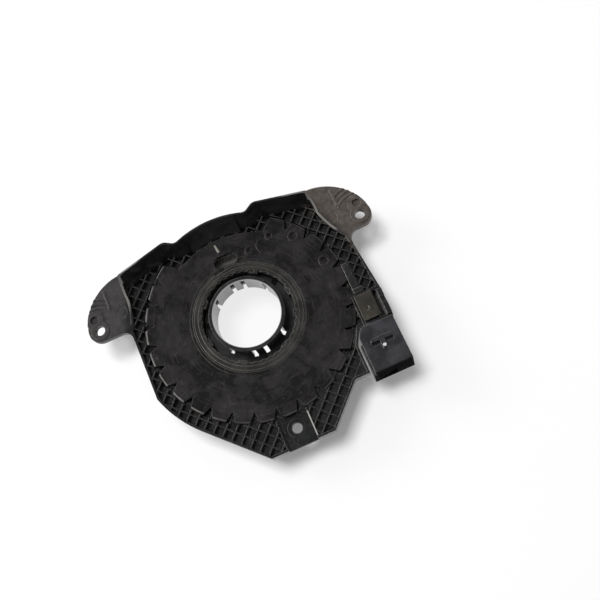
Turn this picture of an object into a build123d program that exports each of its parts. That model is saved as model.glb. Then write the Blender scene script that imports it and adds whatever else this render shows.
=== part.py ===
from build123d import *
import math
import os

# Steering clock spring, in millimetres.
# Z is the steering axis. The steering-wheel side faces down and rests on the drum's skirt at z = 0.
# The ribbed side that faces the steering column looks up. The ears lie towards +Y, the plug towards -Y.

# Radii about the steering axis, from the bore outwards
BORE_R = 18.0            # hole for the steering shaft
SLEEVE_WALL = 1.6
SLEEVE_LIP = 0.4         # bead round the top of the sleeve
WELL_WIDTH = 5.1         # open ring between the sleeve and the collar's teeth
HUB_WALL = 1.8           # tube that the ribbon winds on
COLLAR_REACH = 3.3       # how far the collar covers the cassette cover
RIBBON_SPACE = 17.7      # ring between the hub tube and the drum wall
DRUM_WALL = 2.0
PETAL_REACH = 9.3        # how far the cover's petals stand out past the drum
NOTCH_INSET = 6.0        # depth of the notches between the petals

# Heights
SKIRT_DEPTH = 9.0        # from the rest plane up to the rotor plate
ROTOR_PLATE = 2.0
RIBBON_WIDTH = 12.0
RIBBON_END_GAP = 1.2     # above and below the ribbon
SLIDE_T = 0.3            # slide rings that the ribbon's edges run on
COVER_T = 2.0
COLLAR_T = 1.6
SLEEVE_RISE = 5.0        # sleeve above the collar
BORE_DEPTH = 14.5        # sleeve's straight bore
FLOOR_DROP = 2.5         # flange floor below the cover's seat
FLOOR_T = 2.0
RIB_HEIGHT = 4.0
RIM_HEIGHT = 4.5
HOOD_RISE = 13.0         # tall wall between the ears above the low rim
EAR_T = 3.5
EAR_RISE = 1.0           # ear's face above the low rim

# Clearances
RUN_GAP = 0.6            # round a turning part
LIFT_GAP = 0.4           # between the collar and the cover
SEAT_GAP = 0.3           # between a fixed piece and its seat
PIN_GAP = 0.05           # round a contact pin in its wall
SCREW_GAP = 0.03         # round a screw's shank in its pilot hole
COLLAR_SLACK = 0.2       # collar inside the hub tube
HOLDER_GAP = 0.05        # inner ribbon holder off the hub tube

# Flange outline in plan, measured from the petals' ends or from the drum
FLANGE_BAND = 7.7        # ribbed band between the petals and the round lower left edge
LEFT_CUT = 3.4           # straight left edge inside the round edge
RIGHT_STEP = 2.0         # right edge outside the round edge
FOOT_STEP = 9.0          # flat edge below the lower screw, outside the round edge
TOP_BAND = 6.4           # from the drum to the round top edge
ARC_END_X = 20.2         # ends of the round top edge
SHOULDER_X = 25.7
SHOULDER_DROP = 0.4      # shoulders below the highest point of the round top edge
FLANK_IN = 10.0          # hood's outer corners inside the round edge
FLANK_DROP = 6.9
SHOULDER_ROUND = 5.0
ARC_END_ROUND = 4.0
EAR_ROOT_IN = 8.0        # where the hood's side turns out towards the ear's foot
EAR_ROOT_Y = 35.5
EAR_FOOT_Y = 19.0
EAR_BOW = 0.6            # hood's side bows out above that turn
EAR_HOLLOW = 0.7         # and in below it
EAR_END_Y = 11.5
RIM_T = 1.2
HOOD_EDGE_T = 0.8
HOOD_FOOT_T = 4.0        # hood's wall at its foot, thicker than at its edge
HOOD_SAG = 3.5           # hood's sloping edge below a straight line
HOOD_RUNOUT = 4.0        # hood's edge runs out below the ears' lower edge
ARC_FOOT_T = 0.3         # round top wall's foot outside the drum wall
ARC_STEP_X = 14.0        # step where the round top wall meets the flanks
RIB_T = 0.65
RIB_PITCH = 5.2
RIB_INSET = 5.8          # first rib inside the sloping edges
SMALLEST_POCKET = 2.0    # rib pockets with less area than this stay filled
NOTCHES = 28
HOOD_PETALS = 5          # petals left out under the hood
NOTCH_HALF_WIDTH = 2.8   # at the petals' ends
PETAL_LIP = 1.6
PETAL_DROP = 1.2         # petals' ends turn down below the cover
PETAL_ROUND = 1.8
RING_W = 1.3             # low ring on the cover round the collar
RING_RISE = 0.6
WINDOW_SIZE = (13.0, 7.0)
WINDOW_OUT = 3.8         # sight hole's middle outside the collar
EYES = ((14.0, 33.4), (27.1, 36.5))  # small ring bosses on the cover
EYE_R = 2.5
EYE_HOLE_R = 1.2
EYE_RISE = 0.7
EYE_DEPTH = 0.8
PETAL_RINGS = (8, 10)    # petals with a ring boss, counted from the lowest one round to the right
PETAL_RING_OUT = 2.3     # ring bosses' middle outside the drum
PETAL_RING_R = 3.0
PETAL_RING_HOLE_R = 2.0
BUTTON = (22.1, 33.0)    # low round boss between them
BUTTON_R = 4.0
BUTTON_RISE = 0.5

# Fixing holes
EAR_HOLE_OUT = 11.5      # ear holes outside the round edge
EAR_HOLE_Y = 26.2
FOOT_HOLE_IN = 9.6       # lower hole above the flat lower edge
HOLE_R = 2.75
LOBE_R = 6.3
BOSS_R = 5.0
BOSS_RISE = 0.8
DIMPLE_STEP = (0.9, 6.5)  # blind dimple from the ear's hole
DIMPLE_R = 2.3
DIMPLE_DEPTH = 1.2
EAR_LEAN = (2.0, 4.6)    # ear's edge outside the hood's corner
NECK_REACH = 5.0         # hollow curve under the ear, from the flange's edge
NECK_TURN = (1.6, 1.4)
NECK_DROP = 6.5
EAR_INNER_IN = 8.0       # ear's inner side, within the rim
EAR_BELLY = (1.3, 16.4)  # ear's round edge from the hole
PAD_HALF = 8.0
PAD_DROP = 4.5           # lower screw's seat below the rim
PAD_DEPTH = 16.5
STRIPE_RADII = (13.0, 15.4, 17.8)  # raised stripes on the ears, about the hole
STRIPE_W = 1.0
STRIPE_RISE = 0.6
STRIPE_X = (-9.0, 6.0)   # stripes' reach from the hole, outwards positive
STRIPE_LOW = 6.0
RIDGE_IN = 8.9           # straight ridge inside the ear's hole
RIDGE_Y = (35.5, 45.8)
RIDGE_W = 1.2
RIDGE_RISE = 0.8
MARK_IN = 14.1           # shallow round mark inside the ear's hole
MARK_STEP = 4.8
MARK_R = 3.0
MARK_DEPTH = 0.3

# Plug towards the vehicle harness
PLUG_IN = 6.35           # plug's middle inside the round edge
PLUG_REAR_RISE = 2.0     # upper rear edge above the carrier
PLUG_WIDTH = 20.3
PLUG_LENGTH = 25.4
PLUG_HEIGHT = 12.5
PLUG_WALL = 1.1
PLUG_TILT = 10.0         # mouth turned up towards the column side
SOCKET_DEPTH = 16.5
PLUG_COLUMNS = 4
PLUG_ROWS = 2
PIN_PITCH = 2.2
PIN_ROW_PITCH = 4.2
PIN_W = 0.8
PIN_TAIL = 9.0
PIN_SETBACK = 5.0        # pins' tips behind the mouth
NECK_MARGIN = 0.3
NECK_DEPTH = 2.4         # plug's neck past its tilted rear wall
PLUG_GAP = 1.0           # open slot between the plug and the flange
PLUG_STEP = 22.5         # edge of the flange beside the plug, below the carrier
PLUG_NOOK = (3.9, 7.0)   # flange's corner that fills the plug's clipped corner
CORNER_CUT = (2.6, 4.7)  # clipped rear corner
LATCH_RISE = 1.6
LATCH_BAR = (11.6, 2.0)
LATCH_STEM = (2.6, 4.8)
LATCH_BACK = 8.6         # latch bar from the rear
LATCH_RAMP = 1.8
LATCH_POCKET = (1.4, 0.6)  # length and depth of the pockets before the latch bar, beside the stem
LATCH_NUB_R = 1.1
LATCH_NUB_RISE = 0.5
KEY_W = 1.1              # key rib low on the plug's left side
KEY_HEIGHT = 8.0
KEY_BACK = 7.0

# Carrier beside the plug
CARRIER_OVERLAP = 3.7    # carrier's inner side inside the petals' ends
CARRIER_OUT = 4.5        # carrier's outer side outside the round edge
CARRIER_Y = (-31.0, -13.5)
CARRIER_RISE = 1.5       # above the low rim
RAIL_W = 2.6
RAIL_RISE = 2.5
RAIL_ENDS = (1.0, 2.5)   # rail short of the carrier's front and back
RAIL_NOTCH_Y = (-23.5, -20.5)
RAIL_NOTCH = 1.5
RAIL_SLOT_END = 1.5      # slot beside the rail, short of the carrier's front and back
POCKET_WALL = 2.0        # carrier's wall behind the terminals
SIDE_PAD_X = (44.0, 51.0)  # flat pad between the petals and the plug
SIDE_PAD_Y = (-37.0, -28.0)
CHANNEL_W = 3.4
CHANNEL_WALL = 1.0
CHANNEL_OUT = 0.3        # lead's channel outside the petals' ends
CHANNEL_Y = 2.0
LEAD_W = 2.4
LEAD_T = 0.3
LEAD_END = 4.0           # lead's reach into the terminal pocket
STRIP_T = 1.6
STRIP_W = 3.6
HEAD_SIZE = (1.8, 2.8, 2.4)  # strip cover's thick end: beyond its side, length and height
PLATE_T = 1.5
PLATE_LAPS = (-0.4, 1.1, 0.9)  # terminal cover beyond its pocket: left, right and back
PLATE_EDGE = 2.4         # terminal cover behind the carrier's front
PLATE_DIMPLE_R = 1.2
PLATE_DIMPLE_DEPTH = 0.5
PLATE_DIMPLE_AT = 6.0    # from the terminal cover's front

# Rotor pieces
SLOT_W = 2.2
SLOT_CENTRE = -94.0
SLOT_SPREADS = (9.3, 47.0)
SLOT_LAND = 1.6          # sleeve left whole above the slots
SLOT_CLEAR = 0.9         # slots run on into the flange
LIP_HEIGHT = 1.0
FLANGE_T = 2.0           # sleeve's flange, the floor of the open ring
LEDGE_W = 3.4            # ledge inside the hub tube that carries the flange
LEDGE_T = 3.8
SCREW_R = 0.9
SCREW_HEAD_R = 1.4
SCREW_HEAD_T = 1.1
SCREW_BITE = 2.8
SCREW_SLACK = 0.15       # round a screw in the sleeve's flange
CROSS_SIZE = (1.7, 0.4, 0.6)  # length, width and depth of the cross in a screw's head
SCREW_ANGLES = (35, 165, 270)
TEETH = 40
TOOTH_R = 1.2
TOOTH_INSET = 0.5
COLLAR_STEPS = (2.1, 4.2)  # widths from the toothed edge to each step
COLLAR_STEP_RISE = 0.5
COLLAR_NOTCH = (1.6, 6.4)
COLLAR_NOTCH_ANGLE = 100
CLIP_ANGLES = (-120, -62, -20, 10, 62, 140, 190)
CLIP_W = 4.6
CLIP_T = 1.0
CLIP_DEPTH = 3.5
CLIP_ROOT = 0.9
SOCKET_SIZE = (21.0, 10.0)
SOCKET_WALL = 1.2
SOCKET_FOOT = 1.2        # socket's edge above the rest plane
SOCKET_TURNS = {"airbag": 90, "switch": -90}
WHEEL_PIN_PITCH = 2.6
WHEEL_PIN_COLUMNS = {"airbag": 4, "switch": 6}
WHEEL_PIN_ROWS = {"airbag": (0.0,), "switch": (-1.6, 1.6)}
WHEEL_PIN_SETBACK = 1.5
POST_R = 4.0
POST_HOLE_R = 1.8
POST_AT = 35.0

# Ribbon
RIBBON_T = 0.3
RIBBON_HALF_TURNS = 7    # odd, so that the ends lie on opposite sides
RIBBON_SIDE_GAP = 0.2    # between the ribbon's ends and their holders
HOLDER_T = 2.0
HOLDER_W = 7.0
HOLDER_END_GAP = 0.7     # between the holders and the slide rings

FAR = 200.0              # beyond every piece
OVER = 1.0               # extra length of a cut past the face it goes through

# Places worked out from the sizes above
SLEEVE_R = BORE_R + SLEEVE_WALL
COLLAR_IN_R = SLEEVE_R + WELL_WIDTH
HUB_IN_R = COLLAR_IN_R + COLLAR_SLACK
HUB_R = HUB_IN_R + HUB_WALL
COVER_IN_R = HUB_R + RUN_GAP
COLLAR_R = HUB_R + COLLAR_REACH
DRUM_IN_R = COVER_IN_R + RIBBON_SPACE
DRUM_R = DRUM_IN_R + DRUM_WALL
COVER_R = DRUM_R + PETAL_REACH
NOTCH_R = COVER_R - NOTCH_INSET
ROTOR_R = DRUM_IN_R - RUN_GAP

EDGE_R = COVER_R + FLANGE_BAND
LEFT_X = -(EDGE_R - LEFT_CUT)
RIGHT_X = EDGE_R + RIGHT_STEP
FOOT_Y = -(EDGE_R + FOOT_STEP)
ARC_R = DRUM_R + TOP_BAND
SHOULDER = (SHOULDER_X, ARC_R - SHOULDER_DROP)
FLANK_END = (EDGE_R - FLANK_IN, ARC_R - FLANK_DROP)
EAR_ROOT = (EDGE_R - EAR_ROOT_IN, EAR_ROOT_Y)
EAR_FOOT = (RIGHT_X - RIM_T, EAR_FOOT_Y)
EAR_HOLE = (EDGE_R + EAR_HOLE_OUT, EAR_HOLE_Y)
FOOT_HOLE_Y = FOOT_Y + FOOT_HOLE_IN
PAD_TOP_Y = FOOT_Y + PAD_DEPTH
CARRIER_X = (COVER_R - CARRIER_OVERLAP, EDGE_R + CARRIER_OUT)
PLUG_X = EDGE_R - PLUG_IN
PLUG_REAR_Y = CARRIER_Y[0] - SEAT_GAP
PIN_REACH = (PLUG_COLUMNS - 1)/2*PIN_PITCH + PIN_W/2
NECK_HALF = PIN_REACH + NECK_MARGIN
POCKET_X = (PLUG_X - NECK_HALF - SEAT_GAP, PLUG_X + NECK_HALF + SEAT_GAP)
POCKET_BACK_Y = CARRIER_Y[1] - POCKET_WALL
CHANNEL_X = COVER_R + CHANNEL_OUT
HOOD_END_Y = EAR_FOOT[1] - HOOD_RUNOUT
HOOD_SIDE_Y = FLANK_END[1] - HOOD_FOOT_T  # below it the hood's side is as thin as the rim
HOLDER_IN_R = HUB_R + HOLDER_GAP
HOLDER_MIDDLE = HOLDER_IN_R + HOLDER_T/2
SOCKET_IN_R = HOLDER_MIDDLE + LEAD_W/2 + SEAT_GAP

ROTOR_Z = SKIRT_DEPTH
CAVITY_Z = ROTOR_Z + ROTOR_PLATE
COVER_Z = CAVITY_Z + 2*SLIDE_T + 2*RIBBON_END_GAP + RIBBON_WIDTH
COVER_TOP = COVER_Z + COVER_T
COLLAR_Z = COVER_TOP + LIFT_GAP
COLLAR_TOP = COLLAR_Z + COLLAR_T
SLEEVE_TOP = COLLAR_TOP + SLEEVE_RISE
FLOOR_TOP = COVER_Z - FLOOR_DROP
FLOOR_Z = FLOOR_TOP - FLOOR_T
RIB_TOP = FLOOR_TOP + RIB_HEIGHT
RIM_TOP = FLOOR_TOP + RIM_HEIGHT
HOOD_TOP = RIM_TOP + HOOD_RISE
EAR_TOP = RIM_TOP + EAR_RISE
CARRIER_TOP = RIM_TOP + CARRIER_RISE
PAD_TOP = RIM_TOP - PAD_DROP
PETAL_FOOT = COVER_Z - PETAL_DROP
PLUG_REAR_Z = CARRIER_TOP + PLUG_REAR_RISE
PIN_DROP = (PLUG_HEIGHT + (PLUG_ROWS - 1)*PIN_ROW_PITCH + PIN_W)/2
PIN_LOW = (PLUG_REAR_Z - PIN_DROP*math.cos(math.radians(PLUG_TILT))
           - PIN_TAIL*math.sin(math.radians(PLUG_TILT)))
POCKET_Z = min(FLOOR_TOP, PIN_LOW - SEAT_GAP)  # terminal pocket's floor, under the lowest pins
CARRIER_Z = POCKET_Z - FLOOR_T
HOLDER_LOW = CAVITY_Z + SLIDE_T + HOLDER_END_GAP
HOLDER_HIGH = COVER_Z - SLIDE_T - HOLDER_END_GAP
LEDGE_TOP = SLEEVE_TOP - BORE_DEPTH
LEDGE_R = HUB_IN_R - LEDGE_W
FLANGE_TOP = LEDGE_TOP + FLANGE_T


def bar(x_range, y_range, z_range):
    """Box between three pairs of limits."""
    sizes = [high - low for low, high in (x_range, y_range, z_range)]
    middle = [(low + high)/2 for low, high in (x_range, y_range, z_range)]
    return Pos(*middle)*Box(*sizes)


def plan_box(x_range, y_range):
    """Flat rectangle between two pairs of limits."""
    sizes = [high - low for low, high in (x_range, y_range)]
    middle = [(low + high)/2 for low, high in (x_range, y_range)]
    return Pos(*middle)*Rectangle(*sizes)


def about(middle, half):
    """Pair of limits the same distance to both sides of a middle."""
    return middle - half, middle + half


def tube(outer, inner, low, high):
    """Ring about the steering axis between two heights."""
    ring = Circle(outer) - Circle(inner)
    return Pos(0, 0, low)*extrude(ring, high - low)


def disc(radius, low, high, x=0.0, y=0.0):
    """Upright cylinder between two heights."""
    return Pos(x, y, low)*extrude(Circle(radius), high - low)


def rise(face, low, high):
    """Flat face pushed up between two heights."""
    return Pos(0, 0, low)*extrude(face, high - low)


def arc_y(x, radius):
    """Height of a circle about the axis above one X."""
    return math.sqrt(radius**2 - x**2)


def bow(start, end, depth):
    """Arc between two points whose middle lies this far to the left of the straight line."""
    middle = [(first + last)/2 for first, last in zip(start, end)]
    run = [last - first for first, last in zip(start, end)]
    length = math.hypot(*run)
    return ThreePointArc(start, (middle[0] - depth*run[1]/length, middle[1] + depth*run[0]/length), end)


def flange_outline():
    """Outline of the housing without its ears, from the right ear clockwise."""
    slope = EDGE_R*math.sqrt(2)
    tangent = EDGE_R/math.sqrt(2)
    carrier_right = CARRIER_X[1]
    carrier_front = CARRIER_Y[0]
    plug_side = PLUG_X - PLUG_WIDTH/2 - KEY_W - PLUG_GAP
    step_y = carrier_front - PLUG_STEP
    arc_end = (ARC_END_X, arc_y(ARC_END_X, ARC_R))
    right = Polyline(
        EAR_FOOT, (RIGHT_X, EAR_END_Y), (carrier_right, CARRIER_Y[1]), (carrier_right, carrier_front),
        (plug_side + PLUG_NOOK[0], carrier_front), (plug_side, carrier_front - PLUG_NOOK[1]),
        (plug_side, step_y), (slope + step_y, step_y), (slope + FOOT_Y, FOOT_Y),
        (-slope - FOOT_Y, FOOT_Y), (-tangent, -tangent))
    low_y = -arc_y(LEFT_X, EDGE_R)
    middle = math.radians(180 + (45 + math.degrees(math.atan2(-low_y, -LEFT_X)))/2)
    lower = ThreePointArc(
        (-tangent, -tangent), (EDGE_R*math.cos(middle), EDGE_R*math.sin(middle)), (LEFT_X, low_y))
    left_foot = (LEFT_X, EAR_FOOT[1])
    left_root, left_flank, left_shoulder, left_end = [
        (-x, y) for x, y in (EAR_ROOT, FLANK_END, SHOULDER, arc_end)]
    sides = [
        Polyline(arc_end, SHOULDER, FLANK_END), bow(FLANK_END, EAR_ROOT, EAR_BOW),
        bow(EAR_ROOT, EAR_FOOT, -EAR_HOLLOW), Line((LEFT_X, low_y), left_foot),
        bow(left_foot, left_root, -EAR_HOLLOW), bow(left_root, left_flank, EAR_BOW),
        Polyline(left_flank, left_shoulder, left_end)]
    top = ThreePointArc(left_end, (0, ARC_R), arc_end)
    face = make_face([right, lower, top] + sides)
    rounds = [((SHOULDER, left_shoulder), SHOULDER_ROUND), ((arc_end, left_end), ARC_END_ROUND)]
    for places, radius in rounds:
        corners = [
            corner for corner in face.vertices()
            if min(math.dist((corner.X, corner.Y), place) for place in places) < SEAT_GAP]
        face = fillet(corners, radius)
    return face


def ear_face(side):
    """Outline of one ear, side 1 on the right and -1 on the left, running in under the hood."""
    hole_x, hole_y = EAR_HOLE
    tip_x = hole_x + LOBE_R
    tip_y = hole_y + LOBE_R/4
    foot_y = hole_y - LOBE_R
    root = (FLANK_END[0] - EAR_LEAN[0], FLANK_END[1] + EAR_LEAN[1])
    top = ThreePointArc(root, (hole_x - EAR_BELLY[0], hole_y + EAR_BELLY[1]), (tip_x, tip_y))
    end = Line((tip_x, tip_y), (tip_x, hole_y))
    turn = math.sqrt(0.5)*LOBE_R
    lobe = ThreePointArc((tip_x, hole_y), (hole_x + turn, hole_y - turn), (hole_x, foot_y))
    edge_x = RIGHT_X if side > 0 else -LEFT_X
    inner_x = EDGE_R - EAR_INNER_IN
    neck_y = foot_y - NECK_DROP
    under = Line((hole_x, foot_y), (edge_x + NECK_REACH, foot_y))
    neck = ThreePointArc(
        (edge_x + NECK_REACH, foot_y), (edge_x + NECK_TURN[0], foot_y - NECK_TURN[1]), (edge_x, neck_y))
    inner = Polyline((edge_x, neck_y), (inner_x, neck_y), root)
    face = make_face([top, end, lobe, under, neck, inner])
    return face if side > 0 else mirror(face, Plane.YZ)


def rib_region(outline):
    """Plan area of the flange that the diagonal ribs fill."""
    inside = offset(outline, -RIM_T).faces()[0]
    hood_inside = offset(outline, -HOOD_FOOT_T).faces()[0]
    above = plan_box((-FAR, FAR), (HOOD_SIDE_Y, FAR))
    wall = CHANNEL_W/2 + CHANNEL_WALL
    region = (inside - above) + (hood_inside & above)
    region -= Circle(DRUM_R)
    region -= plan_box(about(0, PAD_HALF + RIB_T), (FOOT_Y, PAD_TOP_Y))
    region -= plan_box((DRUM_R, CHANNEL_X + wall), about(CHANNEL_Y, wall))
    region -= plan_box(about(CHANNEL_X, wall), (CARRIER_Y[1], CHANNEL_Y + wall))
    region -= plan_box(CARRIER_X, CARRIER_Y)
    region -= plan_box(SIDE_PAD_X, SIDE_PAD_Y)
    return region


def rib_pockets(region):
    """Open pockets that the two crossing sets of ribs leave in their region, cell by cell."""
    first = EDGE_R - RIB_INSET + RIB_PITCH/2
    places = [first - index*RIB_PITCH for index in range(int(FAR/RIB_PITCH))]
    side = RIB_PITCH - RIB_T
    pockets = []
    for across in places:
        for along in places:
            if DRUM_R - RIB_PITCH < math.hypot(across, along) < EDGE_R + FOOT_STEP + RIB_PITCH:
                cell = region & Rot(0, 0, -45)*Pos(across, -along)*Rectangle(side, side)
                if cell:
                    pockets += [face for face in cell.faces() if face.area > SMALLEST_POCKET]
    return pockets


def hood_cut():
    """Space above the low rim where the hood's wall slopes down along the ears."""
    over = HOOD_TOP + OVER
    high, low = (FLANK_END[1], HOOD_TOP), (EAR_FOOT[1], EAR_TOP)
    side = make_face([
        bow(low, high, -HOOD_SAG),
        Polyline(high, (high[0], over), (-FAR, over), (-FAR, RIM_TOP), (HOOD_END_Y, RIM_TOP), low)])
    upright = Plane(origin=(-FAR/2, 0, 0), x_dir=(0, 1, 0), z_dir=(1, 0, 0))
    return extrude(upright*side, FAR)


def hood_space(outline):
    """Inside of the hood: sloping walls on the flanks, a cone at the round top."""
    foot = Pos(0, 0, RIM_TOP)*offset(outline, -HOOD_FOOT_T)
    edge = Pos(0, 0, HOOD_TOP)*offset(outline, -HOOD_EDGE_T)
    step = about(0, ARC_STEP_X)
    levels = (RIM_TOP - OVER, HOOD_TOP + OVER)
    flanks = loft([foot.faces()[0], edge.faces()[0]], ruled=True)
    flanks -= bar(step, (COLLAR_R, FAR), levels)
    profile = make_face(Polyline(
        (0, RIM_TOP), (DRUM_R + ARC_FOOT_T, RIM_TOP), (ARC_R - HOOD_EDGE_T, HOOD_TOP), (0, HOOD_TOP),
        close=True))
    cone = revolve(Plane.XZ*profile, Axis.Z) & bar(step, (0, FAR), levels)
    return [flanks, cone]


def hood_sector():
    """Slice about the axis under the hood, where the cover has no petals."""
    half = math.radians(HOOD_PETALS*180/NOTCHES)
    x, y = FAR*math.sin(half), FAR*math.cos(half)
    return make_face(Polyline((0, 0), (x, y), (-x, y), close=True))


def ear_details(side):
    """Raised details of one ear, and the holes that go through or into it."""
    hole_x, y = EAR_HOLE
    x = side*hole_x
    dimple_x, dimple_y = x + side*DIMPLE_STEP[0], y + DIMPLE_STEP[1]
    top = EAR_TOP + BOSS_RISE
    stripe_top = EAR_TOP + STRIPE_RISE
    face = ear_face(side)
    bosses = disc(BOSS_R, EAR_TOP, top, x, y) + disc(BOSS_R, EAR_TOP, top, dimple_x, dimple_y)
    added = [bosses & rise(face, EAR_TOP, top)]
    reach = sorted(x + side*limit for limit in STRIPE_X)
    striped = rise(face, EAR_TOP, stripe_top)
    striped &= bar(reach, (y + STRIPE_LOW, FAR), (EAR_TOP, stripe_top))
    for radius in STRIPE_RADII:
        ring = disc(radius, EAR_TOP, stripe_top, x, y) - disc(radius - STRIPE_W, EAR_TOP, stripe_top, x, y)
        added.append(ring & striped)
    ridge = about(x - side*RIDGE_IN, RIDGE_W/2)
    added.append(bar(ridge, RIDGE_Y, (EAR_TOP, EAR_TOP + RIDGE_RISE)))
    removed = [
        disc(DIMPLE_R, EAR_TOP - DIMPLE_DEPTH, top, dimple_x, dimple_y),
        disc(MARK_R, EAR_TOP - MARK_DEPTH, EAR_TOP, x - side*MARK_IN, y + MARK_STEP),
        disc(HOLE_R, EAR_TOP - EAR_T, top, x, y)]
    return added, removed


def base_housing():
    """Stator moulding: drum, ribbed flange, low rim, hood, ears, lower pad and plug carrier."""
    outline = flange_outline()
    inside = offset(outline, -RIM_T).faces()[0]
    body = rise(outline, FLOOR_Z, HOOD_TOP) - hood_cut()
    for side in (1, -1):
        body += rise(ear_face(side) - inside, EAR_TOP - EAR_T, EAR_TOP)
    body -= hood_space(outline)
    body -= rise(inside - plan_box((-FAR, FAR), (HOOD_SIDE_Y, FAR)), RIB_TOP, HOOD_TOP)

    body += bar(CARRIER_X, CARRIER_Y, (CARRIER_Z, CARRIER_TOP))
    rail_y = (CARRIER_Y[0] + RAIL_ENDS[0], CARRIER_Y[1] - RAIL_ENDS[1])
    rail_top = CARRIER_TOP + RAIL_RISE
    rail_x = (CARRIER_X[1] - RAIL_W, CARRIER_X[1])
    body += bar(rail_x, rail_y, (FLOOR_Z, rail_top))
    body -= bar(rail_x, RAIL_NOTCH_Y, (rail_top - RAIL_NOTCH, rail_top))
    slot_x = (POCKET_X[1] + PLATE_LAPS[1] + SEAT_GAP, rail_x[0] - SEAT_GAP)
    slot_y = (CARRIER_Y[0] + RAIL_SLOT_END, CARRIER_Y[1] - RAIL_SLOT_END)
    body -= bar(slot_x, slot_y, (FLOOR_TOP, CARRIER_TOP))
    body -= [rise(face, FLOOR_TOP, RIM_TOP) for face in rib_pockets(rib_region(outline))]

    body -= bar(about(0, PAD_HALF), (FOOT_Y - OVER, PAD_TOP_Y), (PAD_TOP, RIM_TOP + OVER))
    body += bar((PAD_HALF, PAD_HALF + RIB_T), (FOOT_Y, PAD_TOP_Y), (FLOOR_Z, RIM_TOP))
    body += disc(BOSS_R, PAD_TOP, PAD_TOP + BOSS_RISE, 0, FOOT_HOLE_Y)
    body -= disc(HOLE_R, FLOOR_Z, RIM_TOP, 0, FOOT_HOLE_Y)

    seat = PETAL_FOOT - SEAT_GAP
    body -= rise(Circle(COVER_R + SEAT_GAP) - hood_sector(), seat, RIM_TOP)
    body -= disc(DRUM_R, seat, RIM_TOP)
    body += tube(DRUM_R, DRUM_IN_R, 0, COVER_Z)
    body -= disc(DRUM_IN_R, 0, RIM_TOP)

    run = about(CHANNEL_X, CHANNEL_W/2)
    body -= bar(POCKET_X, (CARRIER_Y[0] - OVER, POCKET_BACK_Y), (POCKET_Z, CARRIER_TOP))
    body -= bar(run, (POCKET_BACK_Y - OVER, CHANNEL_Y + CHANNEL_W/2), (FLOOR_TOP, RIM_TOP))
    body -= bar((DRUM_IN_R - DRUM_WALL, run[1]), about(CHANNEL_Y, CHANNEL_W/2), (FLOOR_TOP, seat))

    for side in (1, -1):
        added, removed = ear_details(side)
        body += added
        body -= removed
    return body


def window():
    """Oval sight hole at twelve o'clock, through the cover and its slide ring."""
    length, width = WINDOW_SIZE
    oval = Pos(0, COLLAR_R + WINDOW_OUT)*SlotOverall(length, width)
    return rise(oval, COVER_Z - 2*SLIDE_T, COVER_TOP + OVER)


def cassette_cover():
    """Disc that closes the ribbon drum, with its edge cut into petals that turn down."""
    curve = PETAL_ROUND*(1 - math.sqrt(0.5))
    section = make_face([
        Polyline((COVER_R - PETAL_ROUND, COVER_TOP), (COVER_IN_R, COVER_TOP), (COVER_IN_R, COVER_Z),
                 (COVER_R - PETAL_LIP, COVER_Z), (COVER_R - PETAL_LIP, PETAL_FOOT), (COVER_R, PETAL_FOOT),
                 (COVER_R, COVER_TOP - PETAL_ROUND)),
        ThreePointArc((COVER_R, COVER_TOP - PETAL_ROUND), (COVER_R - curve, COVER_TOP - curve),
                      (COVER_R - PETAL_ROUND, COVER_TOP))])
    cover = revolve(Plane.XZ*section, Axis.Z)
    levels = (PETAL_FOOT - OVER, COVER_TOP + OVER)
    out_x = COVER_R + OVER
    out_half = NOTCH_HALF_WIDTH*(NOTCH_INSET + OVER)/NOTCH_INSET
    notch = make_face(Polyline((NOTCH_R, 0), (out_x, out_half), (out_x, -out_half), close=True))
    wedge = rise(notch, *levels)
    pitch = 360/NOTCHES
    cover -= [Rot(0, 0, -90 + pitch*(index + 0.5))*wedge for index in range(NOTCHES)]
    cover -= rise(hood_sector() - Circle(DRUM_R - SEAT_GAP), *levels)
    cover += tube(COLLAR_R + SEAT_GAP + RING_W, COLLAR_R + SEAT_GAP, COVER_TOP, COVER_TOP + RING_RISE)
    cover += disc(BUTTON_R, COVER_TOP, COVER_TOP + BUTTON_RISE, *BUTTON)
    rings = [(place, EYE_R, EYE_HOLE_R) for place in EYES]
    for index in PETAL_RINGS:
        place = Vector(DRUM_R + PETAL_RING_OUT, 0).rotate(Axis.Z, -90 + pitch*index)
        rings.append(((place.X, place.Y), PETAL_RING_R, PETAL_RING_HOLE_R))
    for place, outer, inner in rings:
        cover += disc(outer, COVER_TOP, COVER_TOP + EYE_RISE, *place)
        cover -= disc(inner, COVER_TOP - EYE_DEPTH, COVER_TOP + EYE_RISE, *place)
    return cover - window()


def upper_slide_ring():
    """Slippery ring under the cover, above the ribbon."""
    return tube(DRUM_IN_R - SEAT_GAP, COVER_IN_R + SEAT_GAP, COVER_Z - SLIDE_T, COVER_Z) - window()


def lower_slide_ring():
    """Slippery ring on the rotor plate, below the ribbon."""
    ring = tube(ROTOR_R - SEAT_GAP, HUB_R + SEAT_GAP, CAVITY_Z, CAVITY_Z + SLIDE_T)
    return ring - inner_lead_tab(SEAT_GAP)


def outer_holder_x():
    """Inner and outer X of the outer ribbon holder, just inside the drum wall."""
    outer = arc_y(HOLDER_W/2 + CHANNEL_Y, DRUM_IN_R - SEAT_GAP)
    return outer - HOLDER_T, outer


def outer_ribbon_holder():
    """Block on the drum wall that takes the ribbon's outer end to the lead."""
    return bar(outer_holder_x(), about(CHANNEL_Y, HOLDER_W/2), (HOLDER_LOW, HOLDER_HIGH))


def inner_ribbon_holder():
    """Block on the hub tube that takes the ribbon's inner end to the rotor."""
    return bar((-HOLDER_IN_R - HOLDER_T, -HOLDER_IN_R), about(0, HOLDER_W/2), (HOLDER_LOW, HOLDER_HIGH))


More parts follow.
